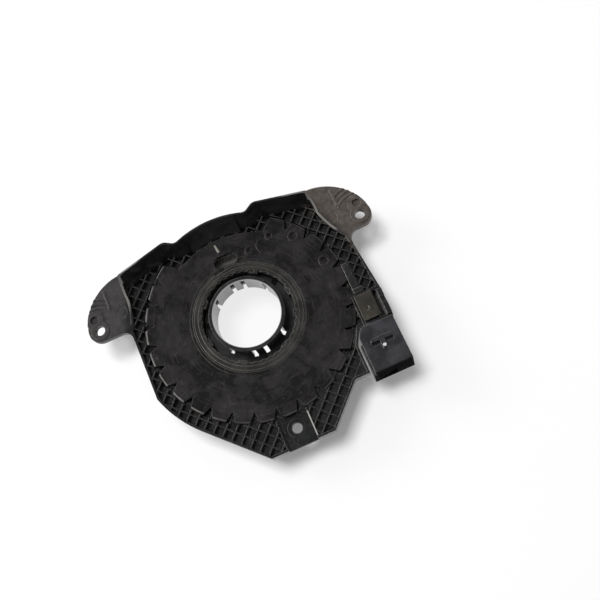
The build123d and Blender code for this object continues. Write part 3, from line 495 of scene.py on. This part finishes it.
@dataclass(frozen=True)
class MouldedPlastic:
    """Moulded plastic with mottled gloss, pale edges that are partly wear and partly painted highlight,
    scuffs and dust.

    Areas that look different, painted highlights, sheen and reflection among them, lie under the dirt,
    apart from a plug's mouth with its painted shade, which lies over all of it.
    """

    slot: Slot
    colour: Colour
    wear_and_highlight: Colour = WEAR_AND_HIGHLIGHT_GREY
    dust: Colour = (0.15, 0.143, 0.135, 1.0)
    stain: Colour = (0.0145, 0.0165, 0.0155, 1.0)
    mottle: float = 2.0
    roughness: float = 0.2
    spread: float = 0.1
    shine: float = 0.5
    edges: EdgeWearAndHighlight = EdgeWearAndHighlight()
    areas: tuple[Area, ...] = ()
    mouth: PaintedShadeMouth | None = None
    stain_share: float = 0.6
    dust_share: float = 0.1
    dust_roughness: float = 0.4
    scuff_share: float = 0.12
    scuff_turn: float = 32.0
    scuff_stretch: float = 0.16
    streaks: float = 0.0
    streak_length: float = 3.0
    relief: float = 0.3
    relief_depth: float = 0.12
    grain_share: float = 0.35
    blotch_size: float = 11.0
    stain_size: float = 7.0
    patch_size: float = 4.0
    scuff_size: float = 1.6
    streak_size: float = 1.1
    speck_size: float = 0.9
    grain_size: float = 0.45
    blotch_span: Span = (0.38, 0.62)
    stain_span: Span = (0.5, 0.68)
    dust_span: Span = (0.45, 0.78)
    scuff_span: Span = (0.6, 0.74)
    streak_span: Span = (0.52, 0.74)
    speck_span: Span = (0.62, 0.72)

    def make(self) -> bpy.types.Material:
        """Builds the material.

        Returns:
            The node material.
        """
        material = bpy.data.materials.new(self.slot.value)
        recipe = NodeRecipe(material)
        place = recipe.millimetres()
        patch = recipe.noise(place, self.patch_size, detail=5.0, rough=0.65, warp=0.8)
        rounded = recipe.rounded(self.edges.radius)
        coat = self.bare(recipe, place)
        for area in self.areas:
            area.lay(recipe, place, coat)
        dirt = self.dirt(recipe, place, patch)
        coat.colour = recipe.blend(dirt, coat.colour, self.dust)
        # Painted highlight mixed with real wear: edges that look up turn pale grey, most of all those
        # facing the edge light.
        coat.colour = recipe.blend(self.edges.mark(recipe, rounded, patch), coat.colour, self.wear_and_highlight)
        if self.mouth:
            self.mouth.lay(recipe, place, coat)
        grain = recipe.noise(place, self.grain_size, detail=2.0)
        relief = recipe.sum(Sum.ADD, recipe.product(grain, self.grain_share), patch)
        recipe.finish(recipe.add("ShaderNodeBsdfPrincipled", {
            "Base Color": coat.colour, "Specular IOR Level": coat.shine,
            "Roughness": recipe.sum(Sum.ADD, coat.roughness, recipe.product(dirt, self.dust_roughness)),
            "Normal": recipe.bump(relief, self.relief, self.relief_depth, rounded)}))
        return material

    def bare(self, recipe: NodeRecipe, place: Socket) -> Coat:
        """Bare plastic with lighter blotches and stains.

        Args:
            recipe: The tree to add to.
            place: Position in millimetres.

        Returns:
            The first coat.
        """
        blotch = recipe.noise(place, self.blotch_size, detail=4.0, rough=0.6, warp=0.4)
        base = recipe.blend(recipe.step(blotch, *self.blotch_span), self.colour, self.lighter())
        cloud = recipe.noise(place, self.stain_size)
        stained = recipe.step(cloud, *self.stain_span, 0.0, self.stain_share)
        half = self.spread/2
        gloss = recipe.step(blotch, *NOISE_RANGE, self.roughness - half, self.roughness + half)
        return Coat(recipe.blend(stained, base, self.stain), gloss, self.shine)

    def lighter(self) -> Colour:
        """The base colour's lighter blotches."""
        red, green, blue, _ = self.colour
        return red*self.mottle, green*self.mottle, blue*self.mottle, 1.0

    def dirt(self, recipe: NodeRecipe, place: Socket, patch: Socket) -> Socket:
        """Dust on faces that look up, scuffs that run across the part, and streaks round the axis.

        Args:
            recipe: The tree to add to.
            place: Position in millimetres.
            patch: Pattern that the dust gathers in.

        Returns:
            How much of the surface is dulled, from 0 to 1.
        """
        up = recipe.facing_up()
        specks = recipe.noise(place, self.speck_size, detail=4.0, rough=0.7)
        dust = recipe.sum(
            Sum.HIGHER, recipe.step(specks, *self.speck_span), recipe.step(patch, *self.dust_span))
        drawn = recipe.add("ShaderNodeMapping", {
            "Vector": place, "Rotation": (0.0, 0.0, math.radians(self.scuff_turn)),
            "Scale": (1.0, self.scuff_stretch, 1.0)}).outputs[0]
        scuffs = recipe.noise(drawn, self.scuff_size, detail=6.0, rough=0.7, warp=1.2)
        scuffs = recipe.product(recipe.step(scuffs, *self.scuff_span), self.scuff_share)
        dirt = recipe.sum(Sum.HIGHER, recipe.product(dust, up, self.dust_share), scuffs)
        if self.streaks:
            reach, turn = recipe.reach(place)
            rolled = recipe.add("ShaderNodeCombineXYZ", {
                "X": reach, "Y": recipe.product(turn, self.streak_length)}).outputs[0]
            rings = recipe.noise(rolled, self.streak_size, detail=4.0, rough=0.6, warp=0.2)
            rings = recipe.product(recipe.step(rings, *self.streak_span), up, self.streaks)
            dirt = recipe.sum(Sum.HIGHER, dirt, rings)
        return dirt


@dataclass(frozen=True)
class PlatedMetal:
    """Plated metal of pins and screws, brushed and a little stained."""

    slot: Slot
    colour: Colour
    stain: Colour
    roughness: Span = (0.2, 0.42)
    stain_size: float = 1.8
    stain_span: Span = (0.5, 0.75)
    brush_size: float = 0.6
    brush_stretch: Point = (6.0, 0.5, 6.0)
    edge_radius: float = 0.12
    relief: float = 0.15
    relief_depth: float = 0.05

    def make(self) -> bpy.types.Material:
        """Builds the material.

        Returns:
            The node material.
        """
        material = bpy.data.materials.new(self.slot.value)
        recipe = NodeRecipe(material)
        place = recipe.millimetres()
        drawn = recipe.add("ShaderNodeMapping", {"Vector": place, "Scale": self.brush_stretch}).outputs[0]
        brushed = recipe.noise(drawn, self.brush_size)
        stained = recipe.step(recipe.noise(place, self.stain_size, detail=4.0), *self.stain_span)
        rounded = recipe.rounded(self.edge_radius)
        recipe.finish(recipe.add("ShaderNodeBsdfPrincipled", {
            "Base Color": recipe.blend(stained, self.colour, self.stain), "Metallic": 1.0,
            "Roughness": recipe.step(brushed, *NOISE_RANGE, *self.roughness),
            "Normal": recipe.bump(brushed, self.relief, self.relief_depth, rounded)}))
        return material


@dataclass(frozen=True)
class TrackedFilm:
    """Dark film over flat copper tracks, as the ribbon cable and its leads have."""

    slot: Slot
    film: Colour = (0.008, 0.007, 0.0065, 1.0)
    copper: Colour = (0.018, 0.012, 0.009, 1.0)
    pitch: float = 1.6
    track_edge: Span = (-0.2, 0.2)
    haze_size: float = 5.0
    roughness: Span = (0.22, 0.38)
    varnish: float = 0.4

    def make(self) -> bpy.types.Material:
        """Builds the material.

        Returns:
            The node material.
        """
        material = bpy.data.materials.new(self.slot.value)
        recipe = NodeRecipe(material)
        place = recipe.millimetres()
        height = recipe.axes(place)[2]
        wave = recipe.sum(Sum.WAVE, recipe.product(height, 2*math.pi/self.pitch))
        haze = recipe.noise(place, self.haze_size)
        recipe.finish(recipe.add("ShaderNodeBsdfPrincipled", {
            "Base Color": recipe.blend(recipe.step(wave, *self.track_edge), self.film, self.copper),
            "Roughness": recipe.step(haze, *NOISE_RANGE, *self.roughness), "Coat Weight": self.varnish}))
        return material


@dataclass(frozen=True)
class PaleFilm:
    """Slippery pale film or plain pale plastic, faintly clouded and rubbed."""

    slot: Slot
    colour: Colour = (0.7, 0.7, 0.66, 1.0)
    rubbed: Colour = (0.5, 0.49, 0.45, 1.0)
    roughness: float = 0.38
    smoother: float = 0.1
    rougher: float = 0.15
    cloud_size: float = 6.0
    cloud_span: Span = (0.45, 0.75)
    grain_size: float = 0.5
    relief: float = 0.15
    relief_depth: float = 0.05

    def make(self) -> bpy.types.Material:
        """Builds the material.

        Returns:
            The node material.
        """
        material = bpy.data.materials.new(self.slot.value)
        recipe = NodeRecipe(material)
        place = recipe.millimetres()
        cloud = recipe.noise(place, self.cloud_size, detail=4.0, rough=0.6, warp=0.5)
        grain = recipe.noise(place, self.grain_size, detail=2.0)
        roughness = (self.roughness - self.smoother, self.roughness + self.rougher)
        recipe.finish(recipe.add("ShaderNodeBsdfPrincipled", {
            "Base Color": recipe.blend(recipe.step(cloud, *self.cloud_span), self.colour, self.rubbed),
            "Roughness": recipe.step(cloud, *NOISE_RANGE, *roughness),
            "Normal": recipe.bump(grain, self.relief, self.relief_depth)}))
        return material


@dataclass(frozen=True)
class PaperWhite:
    """White paper floor that still shows the part's shadow, less of it under the bore."""

    colour: Colour = (0.98, 0.98, 0.98, 1.0)
    glow: float = 0.12
    bore_glow: float = 0.8
    bore_reach: Span = (27.0, 35.0)

    def make(self) -> bpy.types.Material:
        """Builds the material.

        Returns:
            The node material.
        """
        material = bpy.data.materials.new("paper_white")
        recipe = NodeRecipe(material)
        paper = recipe.add("ShaderNodeBsdfDiffuse", {"Color": self.colour})
        white = recipe.add("ShaderNodeEmission", {"Color": WHITE, "Strength": 1.0})
        path = recipe.add("ShaderNodeLightPath").outputs
        seen = recipe.sum(Sum.HIGHER, path["Is Camera Ray"], path["Is Glossy Ray"])
        seen = recipe.sum(Sum.HIGHER, seen, path["Is Transmission Ray"])
        reach = recipe.reach(recipe.millimetres())[0]
        # Painted light: under the bore the floor glows brighter and fills in the part's shadow there.
        share = recipe.product(seen, recipe.step(reach, *self.bore_reach, self.bore_glow, self.glow))
        recipe.finish(recipe.add("ShaderNodeMixShader", {
            0: share, 1: paper.outputs[0], 2: white.outputs[0]}))
        return material


def dress(node: str, material: bpy.types.Material) -> bpy.types.Object:
    """Gives a CAD node its finish.

    Args:
        node: The CAD node's name.
        material: The finish.

    Returns:
        The node's object.
    """
    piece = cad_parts[node]
    piece.data.materials.clear()
    piece.data.materials.append(material)
    log.info("dressed %s in %s", node, material.name)
    return piece


def soften(piece: bpy.types.Object, radius: float, steps: int = 2, angle: float = 40.0) -> None:
    """Rounds a piece's sharp edges with modifiers, and leaves its own mesh as it is.

    Args:
        piece: The object.
        radius: Width of the rounding in millimetres.
        steps: Faces across the rounding.
        angle: Edges sharper than this many degrees are rounded.
    """
    weld = piece.modifiers.new("join_corners", "WELD")
    weld.merge_threshold = WELD_REACH*MM
    flat = piece.modifiers.new("join_flats", "DECIMATE")
    flat.decimate_type = "DISSOLVE"
    flat.angle_limit = math.radians(FLAT_ANGLE)
    edge = piece.modifiers.new("round_edges", "BEVEL")
    edge.width = radius*MM
    edge.segments = steps
    edge.limit_method = "ANGLE"
    edge.angle_limit = math.radians(angle)
    edge.use_clamp_overlap = True
    edge.miter_outer = "MITER_ARC"


def closed_loft(name: str, rings: list[list[Vector]], material: bpy.types.Material) -> bpy.types.Object:
    """Makes a closed mesh through rings of corners and puts it in the scene.

    Args:
        name: The piece's name.
        rings: Rings of corners in millimetres, each with as many corners as the others.
        material: Its finish.

    Returns:
        The new piece.
    """
    shape = bmesh.new()
    loops = [[shape.verts.new(corner*MM) for corner in ring] for ring in rings]
    for near, far in zip(loops, loops[1:]):
        for index in range(len(near)):
            after = (index + 1) % len(near)
            shape.faces.new((near[index], near[after], far[after], far[index]))
    shape.faces.new(loops[0][::-1])
    shape.faces.new(loops[-1])
    bmesh.ops.recalc_face_normals(shape, faces=shape.faces)
    mesh = bpy.data.meshes.new(name)
    shape.to_mesh(mesh)
    shape.free()
    mesh.materials.append(material)
    piece = bpy.data.objects.new(name, mesh)
    bpy.context.scene.collection.objects.link(piece)
    log.info("built %s", name)
    return piece


@dataclass
class StatorHousing:
    """Base housing with its flange, hood and ears, and the cassette cover on it."""

    plastic: MouldedPlastic = MouldedPlastic(
        Slot.HOUSING, (0.0085, 0.0083, 0.0088, 1.0), areas=(MatteEars(), PaintedRimHighlight(), PaintedWallHighlight()))
    cover_plastic: MouldedPlastic = MouldedPlastic(
        Slot.COVER, (0.0066, 0.0059, 0.0061, 1.0), mottle=3.2, spread=0.16, shine=0.42,
        edges=EdgeWearAndHighlight(0.55), scuff_share=0.2, streaks=0.14)

    def build(self) -> None:
        """Dresses the housing and the cover."""
        dress("base_housing", self.plastic.make())
        dress("cassette_cover", self.cover_plastic.make())


@dataclass
class SightTab:
    """Small pale tab on the cover, behind the sight hole."""

    foot: Point = (-1.4, 39.3, 27.95)
    tip: Point = (-2.1, 44.3, 27.95)
    foot_width: float = 1.9
    tip_width: float = 1.1
    top_share: float = 0.7
    height: float = 1.3
    tip_drop: float = 0.55
    steps: int = 4
    edge: float = 0.25
    plastic: PaleFilm = PaleFilm(Slot.HOLDER, (0.33, 0.31, 0.28, 1.0), (0.2, 0.19, 0.17, 1.0), 0.5)

    def build(self) -> bpy.types.Object:
        """Builds the tab as a tapered finger that slopes down to its tip.

        Returns:
            The tab.
        """
        foot, tip = Vector(self.foot), Vector(self.tip)
        side = (tip - foot).cross(Vector((0.0, 0.0, 1.0))).normalized()
        rings = []
        for index in range(self.steps + 1):
            share = index/self.steps
            middle = foot.lerp(tip, share)
            half = side*(self.foot_width + (self.tip_width - self.foot_width)*share)/2
            top = half*self.top_share
            rise = Vector((0.0, 0.0, self.height*(1.0 - self.tip_drop*share**2)))
            rings.append([middle - half, middle + half, middle + top + rise, middle - top + rise])
        tab = closed_loft("sight_tab", rings, self.plastic.make())
        soften(tab, self.edge)
        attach(tab, Body.STATOR.value)
        return tab


@dataclass
class RotorCore:
    """Hub, sleeve, collar and screws that turn with the steering wheel."""

    plastic: MouldedPlastic = MouldedPlastic(Slot.ROTOR, (0.013, 0.013, 0.0135, 1.0), areas=(PaintedBoreReflection(),))
    # The collar's pale edges, real wear and painted highlight, run nearly all round.
    collar_plastic: MouldedPlastic = MouldedPlastic(
        Slot.COLLAR, (0.017, 0.0163, 0.0146, 1.0), edges=EdgeWearAndHighlight(0.95, 0.6))
    steel: PlatedMetal = PlatedMetal(Slot.SCREW, (0.06, 0.06, 0.06, 1.0), (0.035, 0.033, 0.03, 1.0))

    def build(self) -> None:
        """Dresses the rotor's own pieces."""
        black = self.plastic.make()
        for node in ("rotor_hub", "bore_sleeve"):
            dress(node, black)
        dress("lock_collar", self.collar_plastic.make())
        dress("rotor_screws", self.steel.make())


@dataclass
class HarnessPlug:
    """Tilted plug with its contacts, the terminal lid behind it and the lid over its lead."""

    edge: float = 0.3
    lid_edge: float = 0.2
    shell: MouldedPlastic = MouldedPlastic(
        Slot.PLUG, (0.022, 0.0217, 0.0245, 1.0), roughness=0.36, shine=0.3, mouth=PaintedShadeMouth())
    lid: MouldedPlastic = MouldedPlastic(Slot.TERMINAL, (0.027, 0.0243, 0.02, 1.0), roughness=0.32)
    strip: MouldedPlastic = MouldedPlastic(Slot.STRIP, (0.014, 0.014, 0.0145, 1.0))
    contact: PlatedMetal = PlatedMetal(Slot.CONTACT, (0.72, 0.66, 0.5, 1.0), (0.5, 0.43, 0.28, 1.0))

    def build(self) -> bpy.types.Material:
        """Dresses the plug's pieces.

        Returns:
            The contacts' finish, which the wheel-side sockets share.
        """
        soften(dress("plug_housing", self.shell.make()), self.edge)
        soften(dress("terminal_cover", self.lid.make()), self.lid_edge)
        soften(dress("strip_cover", self.strip.make()), self.edge)
        metal = self.contact.make()
        dress("plug_pins", metal)
        return metal


@dataclass
class PaintedHighlightLatchTip:
    """Pale rounded tip on the plug's latch, a painted highlight."""

    foot: Point = (57.65, -45.05, 35.9)
    radius: float = 1.05
    height: float = 0.75
    corners: int = 16
    rises: tuple[float, ...] = (0.0, 30.0, 55.0, 75.0)
    plastic: PaleFilm = PaleFilm(Slot.PLUG, (0.62, 0.62, 0.62, 1.0), (0.4, 0.4, 0.4, 1.0), 0.25)

    def build(self) -> bpy.types.Object:
        """Builds the tip as a closed dome.

        Returns:
            The tip.
        """
        turn = Matrix.Rotation(math.radians(-PLUG_TILT), 3, "X")
        rings = []
        for rise in map(math.radians, self.rises):
            reach, level = self.radius*math.cos(rise), self.height*math.sin(rise)
            ring = []
            for index in range(self.corners):
                angle = 2*math.pi*index/self.corners
                spot = Vector((reach*math.cos(angle), reach*math.sin(angle), level))
                ring.append(Vector(self.foot) + turn @ spot)
            rings.append(ring)
        # Painted highlight: a pale dome on the latch nub.
        tip = closed_loft("latch_tip_highlight", rings, self.plastic.make())
        tip.data.shade_smooth()
        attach(tip, Body.STATOR.value)
        return tip


@dataclass
class RibbonDrive:
    """Ribbon cable with its holders, leads and slide rings."""

    ribbon: TrackedFilm = TrackedFilm(Slot.RIBBON)
    slide: PaleFilm = PaleFilm(Slot.SLIDE)
    holder: PaleFilm = PaleFilm(Slot.HOLDER, (0.5, 0.5, 0.47, 1.0), (0.38, 0.37, 0.34, 1.0), 0.5)

    def build(self) -> None:
        """Dresses the ribbon and what it runs on."""
        film = self.ribbon.make()
        for node in ("ribbon_cable", "outer_lead", "inner_lead"):
            dress(node, film)
        slippery = self.slide.make()
        for node in ("upper_slide_ring", "lower_slide_ring"):
            dress(node, slippery)
        pale = self.holder.make()
        for node in ("outer_ribbon_holder", "inner_ribbon_holder"):
            dress(node, pale)


@dataclass
class WheelSockets:
    """Sockets on the wheel side with their contacts."""

    plastic: MouldedPlastic = MouldedPlastic(Slot.SOCKET, (0.02, 0.02, 0.02, 1.0))

    def build(self, metal: bpy.types.Material) -> None:
        """Dresses both sockets.

        Args:
            metal: The contacts' finish.
        """
        black = self.plastic.make()
        for name in ("airbag", "switch"):
            dress(name + "_socket", black)
            dress(name + "_pins", metal)


@dataclass
class Lamp:
    """Square soft lamp that faces the part, mirrored in its gloss or not."""

    name: str
    way: Point
    reach: float
    size: float
    power: float
    glossy: bool = True

    def hang(self, aim: Point) -> None:
        """Hangs the lamp.

        Args:
            aim: Point that it faces, in millimetres.
        """
        data = bpy.data.lights.new(self.name, "AREA")
        data.size = self.size*MM
        data.energy = self.power
        lamp = bpy.data.objects.new(self.name, data)
        lamp.visible_glossy = self.glossy
        way = Vector(self.way).normalized()
        lamp.location = (Vector(aim) + way*self.reach)*MM
        lamp.rotation_euler = way.to_track_quat("Z", "Y").to_euler()
        bpy.context.scene.collection.objects.link(lamp)
        log.info("hung %s", self.name)


@dataclass
class Studio:
    """White floor, a soft lamp overhead, a weak one from the upper left and the photograph's camera."""

    floor_half: float = 3000.0
    paper: PaperWhite = PaperWhite()
    aim: Point = (0.0, 0.0, 30.0)
    lamps: tuple[Lamp, ...] = (
        Lamp("key_light", (-0.12, 0.12, 0.985), 1800.0, 560.0, 25.0, glossy=False),
        Lamp("edge_light", (-0.6, 0.5, 0.62), 1200.0, 450.0, 1.8))
    wall_light: float = 0.8
    ceiling_light: float = 0.18
    wall_top: Span = (0.2, 0.6)
    camera_place: Point = (30.0, -140.0, 485.0)
    camera_turn: Point = (15.1633, 6.985, -23.3)
    lens: float = 54.77
    sensor: float = 36.0
    nearest: float = 10.0

    def build(self) -> None:
        """Builds the floor, the lights, the world and the camera."""
        self.floor()
        self.world()
        for lamp in self.lamps:
            lamp.hang(self.aim)
        self.camera()
        bpy.context.scene.view_settings.view_transform = "Standard"

    def floor(self) -> None:
        """Lays the white floor under the part."""
        half = self.floor_half*MM
        corners = [(-half, -half, 0.0), (half, -half, 0.0), (half, half, 0.0), (-half, half, 0.0)]
        mesh = bpy.data.meshes.new("studio_floor")
        mesh.from_pydata(corners, [], [(0, 1, 2, 3)])
        mesh.materials.append(self.paper.make())
        floor = bpy.data.objects.new("studio_floor", mesh)
        bpy.context.scene.collection.objects.link(floor)
        log.info("laid the floor")

    def world(self) -> None:
        """Makes pale walls all round under a darker ceiling."""
        world = bpy.data.worlds.new("studio_world")
        bpy.context.scene.world = world
        recipe = NodeRecipe(world, "ShaderNodeOutputWorld")
        height = recipe.axes(recipe.add("ShaderNodeTexCoord").outputs["Generated"])[2]
        light = recipe.step(height, *self.wall_top, self.wall_light, self.ceiling_light)
        recipe.finish(recipe.add("ShaderNodeBackground", {"Color": WHITE, "Strength": light}))

    def camera(self) -> None:
        """Sets the camera at the photograph's viewing angle."""
        data = bpy.data.cameras.new("photo_camera")
        data.lens = self.lens
        data.sensor_width = self.sensor
        data.clip_start = self.nearest*MM
        eye = bpy.data.objects.new("photo_camera", data)
        eye.location = Vector(self.camera_place)*MM
        eye.rotation_euler = [math.radians(angle) for angle in self.camera_turn]
        bpy.context.scene.collection.objects.link(eye)
        bpy.context.scene.camera = eye


def main() -> None:
    """Builds the part's looks in order, then the studio."""
    logging.basicConfig(level=logging.INFO, format="%(name)s: %(message)s")
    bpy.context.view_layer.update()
    StatorHousing().build()
    SightTab().build()
    RotorCore().build()
    metal = HarnessPlug().build()
    PaintedHighlightLatchTip().build()
    RibbonDrive().build()
    WheelSockets().build(metal)
    Studio().build()


if __name__ == "__main__":
    main()
